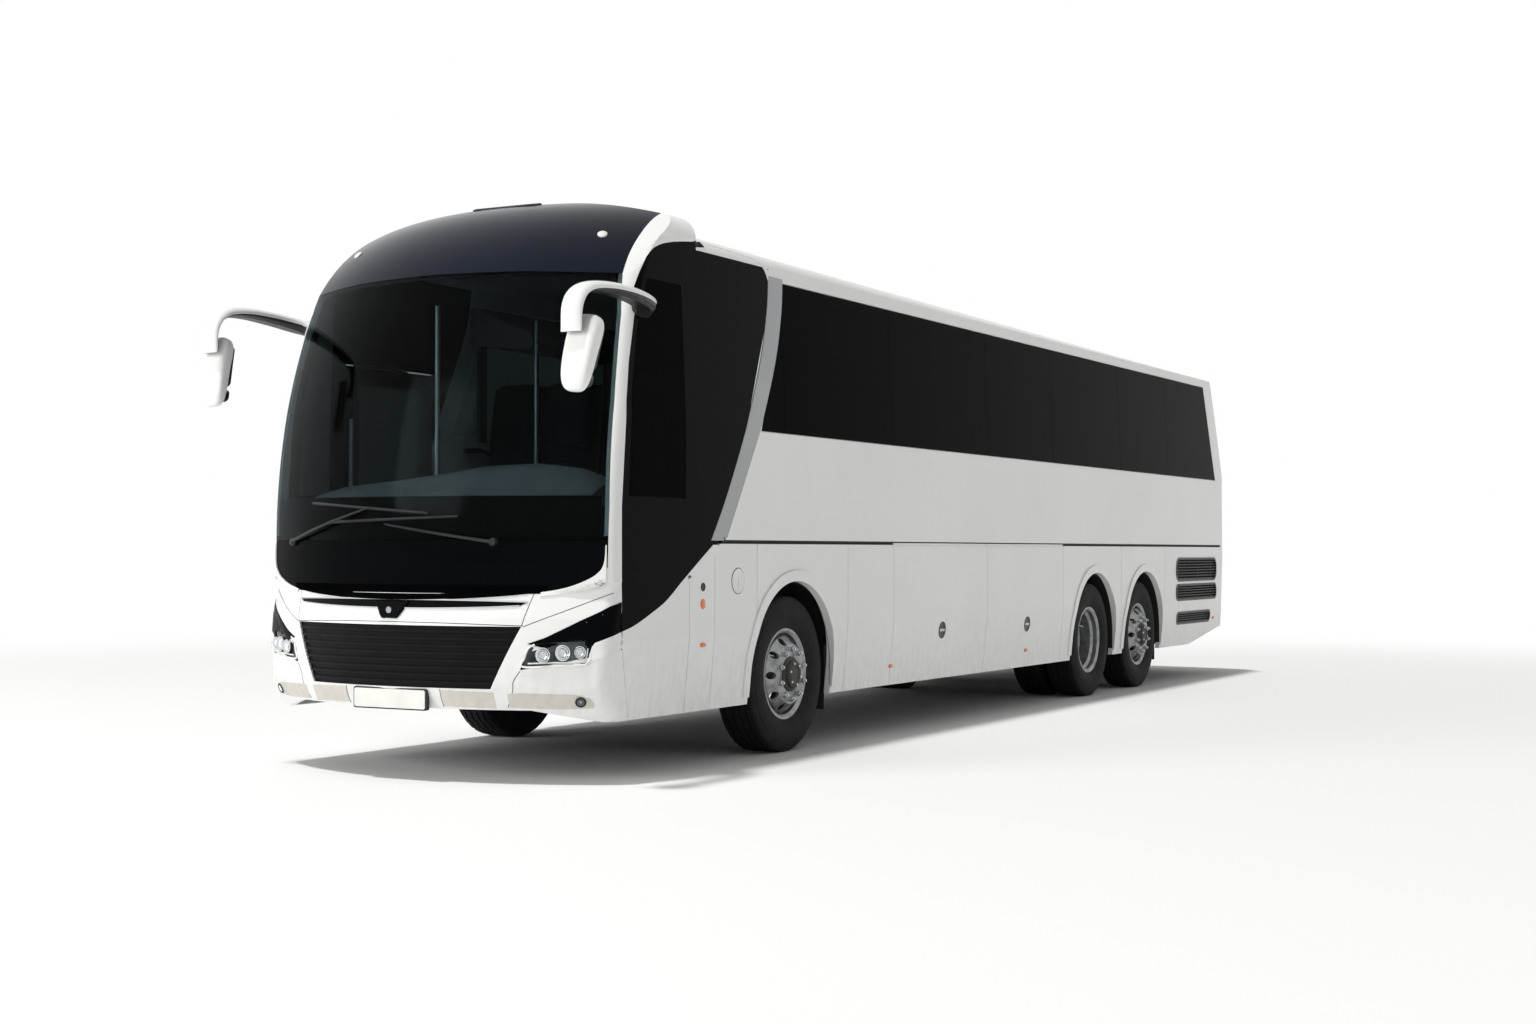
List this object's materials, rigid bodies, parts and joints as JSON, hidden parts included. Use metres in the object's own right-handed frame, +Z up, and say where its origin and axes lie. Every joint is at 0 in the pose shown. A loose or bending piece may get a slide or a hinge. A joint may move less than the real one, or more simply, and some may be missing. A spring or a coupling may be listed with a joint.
{
  "type": "three-axle touring coach",
  "caption": "Full-size touring coach with raised glazed nose, hinged luggage flaps, swing-out doors, engine lid, steered front and tag wheels and a fitted saloon.",
  "frame": {"origin": "On the ground at the middle of the bounding box, under the centre line of the coach.", "axes": "+X forward towards the windscreen, +Y to the left side of the coach, +Z up from the road."},
  "size_m": [13.46, 3, 3.5448],
  "materials": {
    "white_paint": "gloss",
    "dome_blue": "gloss",
    "black_panel": "gloss",
    "grey_strip": "satin",
    "chassis_black": "matt",
    "wheel_steel": "satin",
    "cast_iron": "matt",
    "tyre": "matt",
    "rubber": "matt",
    "black_plastic": "satin",
    "trim_grey": "matt",
    "floor_grey": "matt",
    "seat_fabric": "woven",
    "lamp_glass": "clear",
    "glass": "clear",
    "tinted_glass": "tinted"
  },
  "bodies": {
    "root": {"axle_drive": "chassis_black", "axle_front": "chassis_black", "axle_tag": "chassis_black", "belt_rails": "rubber", "bumpers": "white_paint", "cab_floor": "floor_grey", "cab_sides": "black_panel", "chassis_rails": "chassis_black", "dashboard": "trim_grey", "dome": "dome_blue", "engine": "cast_iron", "front_grille": "black_plastic", "front_lid": "black_panel", "front_mask": "white_paint", "headlamp_bezels": "black_plastic", "lamps": "lamp_glass", "luggage_hold": "floor_grey", "mirrors": "white_paint", "mud_flaps": "rubber", "passenger_floor": "floor_grey", "pillar_arch": "white_paint", "rear_wall": "white_paint", "roof": "white_paint", "roof_cooler": "white_paint", "seats": "seat_fabric", "side_grilles": "black_plastic", "skirts": "white_paint", "steering_wheel": "black_plastic", "swept_strips": "grey_strip", "waist_panels": "white_paint", "window_posts": "black_plastic", "windows": "tinted_glass", "windscreen": "glass"},
    "knuckle_front_left": {"knuckle_front_left": "chassis_black"},
    "wheel_front_left": {"wheel_front_left": "wheel_steel", "tyre_front_left": "tyre"},
    "knuckle_front_right": {"knuckle_front_right": "chassis_black"},
    "wheel_front_right": {"wheel_front_right": "wheel_steel", "tyre_front_right": "tyre"},
    "knuckle_tag_left": {"knuckle_tag_left": "chassis_black"},
    "wheel_tag_left": {"wheel_tag_left": "wheel_steel", "tyre_tag_left": "tyre"},
    "knuckle_tag_right": {"knuckle_tag_right": "chassis_black"},
    "wheel_tag_right": {"wheel_tag_right": "wheel_steel", "tyre_tag_right": "tyre"},
    "wheels_drive_left": {"wheels_drive_left": "wheel_steel", "tyres_drive_left": "tyre"},
    "luggage_flap_left_1": {"luggage_flap_left_1": "white_paint"},
    "luggage_flap_left_2": {"luggage_flap_left_2": "white_paint"},
    "wheels_drive_right": {"wheels_drive_right": "wheel_steel", "tyres_drive_right": "tyre"},
    "luggage_flap_right_1": {"luggage_flap_right_1": "white_paint"},
    "luggage_flap_right_2": {"luggage_flap_right_2": "white_paint"},
    "front_door_arm": {"front_door_arm": "chassis_black"},
    "front_door": {"front_door": "black_panel", "front_door_glass": "tinted_glass"},
    "mid_door_arm": {"mid_door_arm": "chassis_black"},
    "mid_door": {"mid_door": "white_paint", "mid_door_glass": "tinted_glass"},
    "engine_lid": {"engine_lid": "white_paint"}
  },
  "joints": [
    {"name": "front_left_steer", "type": "hinge", "parent": "root", "child": "knuckle_front_left", "pos_m": [3.93, 0.9, 0.52], "axis": [0, 0, 1], "range_deg": [-38, 38]},
    {"name": "front_right_steer", "type": "hinge", "parent": "root", "child": "knuckle_front_right", "pos_m": [3.93, -0.9, 0.52], "axis": [0, 0, 1], "range_deg": [-38, 38]},
    {"name": "tag_left_steer", "type": "hinge", "parent": "root", "child": "knuckle_tag_left", "pos_m": [-3.6, 0.9, 0.52], "axis": [0, 0, 1], "range_deg": [-10, 10]},
    {"name": "tag_right_steer", "type": "hinge", "parent": "root", "child": "knuckle_tag_right", "pos_m": [-3.6, -0.9, 0.52], "axis": [0, 0, 1], "range_deg": [-10, 10]},
    {"name": "front_left_spin", "type": "hinge", "parent": "knuckle_front_left", "child": "wheel_front_left", "pos_m": [3.93, 1.08, 0.524], "axis": [0, 1, 0], "continuous": true},
    {"name": "drive_left_spin", "type": "hinge", "parent": "root", "child": "wheels_drive_left", "pos_m": [-2.13, 0.922, 0.524], "axis": [0, 1, 0], "continuous": true},
    {"name": "tag_left_spin", "type": "hinge", "parent": "knuckle_tag_left", "child": "wheel_tag_left", "pos_m": [-3.6, 1.08, 0.524], "axis": [0, 1, 0], "continuous": true},
    {"name": "front_right_spin", "type": "hinge", "parent": "knuckle_front_right", "child": "wheel_front_right", "pos_m": [3.93, -1.08, 0.524], "axis": [0, 1, 0], "continuous": true},
    {"name": "drive_right_spin", "type": "hinge", "parent": "root", "child": "wheels_drive_right", "pos_m": [-2.13, -0.922, 0.524], "axis": [0, 1, 0], "continuous": true},
    {"name": "tag_right_spin", "type": "hinge", "parent": "knuckle_tag_right", "child": "wheel_tag_right", "pos_m": [-3.6, -1.08, 0.524], "axis": [0, 1, 0], "continuous": true},
    {"name": "front_door_swing", "type": "hinge", "parent": "root", "child": "front_door_arm", "pos_m": [5.59, -1.105, 1.75], "axis": [0, 0, 1], "range_deg": [0, 140]},
    {"name": "front_door_leaf", "type": "hinge", "parent": "front_door_arm", "child": "front_door", "pos_m": [5.09, -1.105, 1.75], "axis": [0, 0, 1], "range_deg": [-140, 0]},
    {"name": "mid_door_swing", "type": "hinge", "parent": "root", "child": "mid_door_arm", "pos_m": [-1.275, -1.105, 1.75], "axis": [0, 0, -1], "range_deg": [0, 140]},
    {"name": "mid_door_leaf", "type": "hinge", "parent": "mid_door_arm", "child": "mid_door", "pos_m": [-0.775, -1.105, 1.75], "axis": [0, 0, -1], "range_deg": [-140, 0]},
    {"name": "luggage_flap_left_1_hinge", "type": "hinge", "parent": "root", "child": "luggage_flap_left_1", "pos_m": [1.45, 1.266, 1.404], "axis": [1, 0, 0], "range_deg": [0, 85]},
    {"name": "luggage_flap_left_2_hinge", "type": "hinge", "parent": "root", "child": "luggage_flap_left_2", "pos_m": [-0.355, 1.266, 1.404], "axis": [1, 0, 0], "range_deg": [0, 85]},
    {"name": "luggage_flap_right_1_hinge", "type": "hinge", "parent": "root", "child": "luggage_flap_right_1", "pos_m": [1.45, -1.266, 1.404], "axis": [-1, 0, 0], "range_deg": [0, 85]},
    {"name": "luggage_flap_right_2_hinge", "type": "hinge", "parent": "root", "child": "luggage_flap_right_2", "pos_m": [0.0715, -1.266, 1.404], "axis": [-1, 0, 0], "range_deg": [0, 85]},
    {"name": "engine_lid_hinge", "type": "hinge", "parent": "root", "child": "engine_lid", "pos_m": [-6.722, 0, 1.568], "axis": [0, 1, 0], "range_deg": [0, 85]}
  ],
  "couplings": [
    {"joint": "front_right_steer", "follows": "front_left_steer", "ratio": 1},
    {"joint": "tag_left_steer", "follows": "front_left_steer", "ratio": -0.25},
    {"joint": "tag_right_steer", "follows": "front_left_steer", "ratio": -0.25},
    {"joint": "front_door_leaf", "follows": "front_door_swing", "ratio": -1},
    {"joint": "mid_door_leaf", "follows": "mid_door_swing", "ratio": -1}
  ]
}
